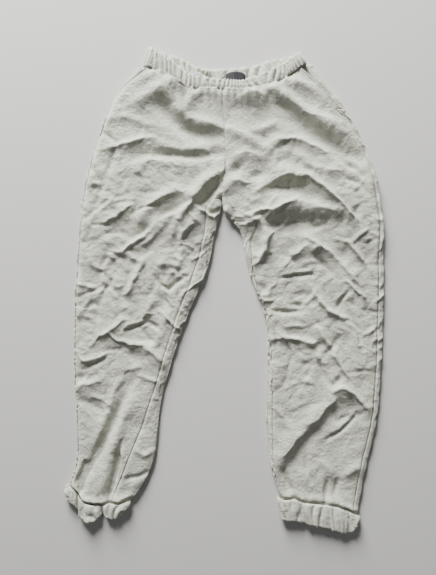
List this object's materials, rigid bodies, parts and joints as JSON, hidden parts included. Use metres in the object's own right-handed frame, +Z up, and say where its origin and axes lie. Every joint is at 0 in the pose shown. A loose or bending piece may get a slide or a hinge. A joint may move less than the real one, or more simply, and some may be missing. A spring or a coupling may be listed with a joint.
{
  "type": "jogging trousers",
  "caption": "Elastic-waist fleece jogging trousers with slant pockets and ribless gathered cuffs, laid flat on their back.",
  "frame": {"origin": "bottom centre of the box around the whole garment, on the surface it lies on", "axes": "+X towards the wearer's left leg, +Y towards the waist, +Z up from the surface, out of the front"},
  "size_m": [0.6676, 1.0258, 0.022],
  "materials": {
    "fleece": "matte brushed-back jersey, pale sage grey",
    "lining": "thin plain jersey",
    "elastic": "woven elastic, off-white",
    "thread": "sewing thread, a little darker than the cloth",
    "label_black": "black woven satin, blank",
    "label_pale": "pale printed-satin cloth, blank"
  },
  "bodies": {
    "upper": {"front_panel_left_thigh": "fleece", "back_panel_left_thigh": "fleece", "front_panel_right_thigh": "fleece", "back_panel_right_thigh": "fleece", "waistband_casing": "fleece", "waist_elastic": "elastic", "pocket_bag_left_back": "lining", "pocket_bag_left_front": "lining", "pocket_facing_left": "fleece", "pocket_topstitch_left": "thread", "pocket_bag_right_back": "lining", "pocket_bag_right_front": "lining", "pocket_facing_right": "fleece", "pocket_topstitch_right": "thread", "brand_label": "label_black", "care_label": "label_pale", "outseam_thread_left_thigh": "thread", "inseam_thread_left_thigh": "thread", "outseam_thread_right_thigh": "thread", "inseam_thread_right_thigh": "thread", "rise_thread_front": "thread", "rise_thread_back": "thread"},
    "left_lower_leg": {"front_panel_left_shin": "fleece", "back_panel_left_shin": "fleece", "cuff_left_casing": "fleece", "cuff_left_elastic": "elastic", "outseam_thread_left_shin": "thread", "inseam_thread_left_shin": "thread"},
    "right_lower_leg": {"front_panel_right_shin": "fleece", "back_panel_right_shin": "fleece", "cuff_right_casing": "fleece", "cuff_right_elastic": "elastic", "outseam_thread_right_shin": "thread", "inseam_thread_right_shin": "thread"}
  },
  "joints": [
    {"name": "left_knee_fold", "type": "hinge", "parent": "upper", "child": "left_lower_leg", "pos_m": [0.2, -0.1043, 0.022], "axis": [-1, 0, 0], "range_deg": [0, 178]},
    {"name": "right_knee_fold", "type": "hinge", "parent": "upper", "child": "right_lower_leg", "pos_m": [-0.2, -0.1043, 0.022], "axis": [-1, 0, 0], "range_deg": [0, 178]}
  ]
}
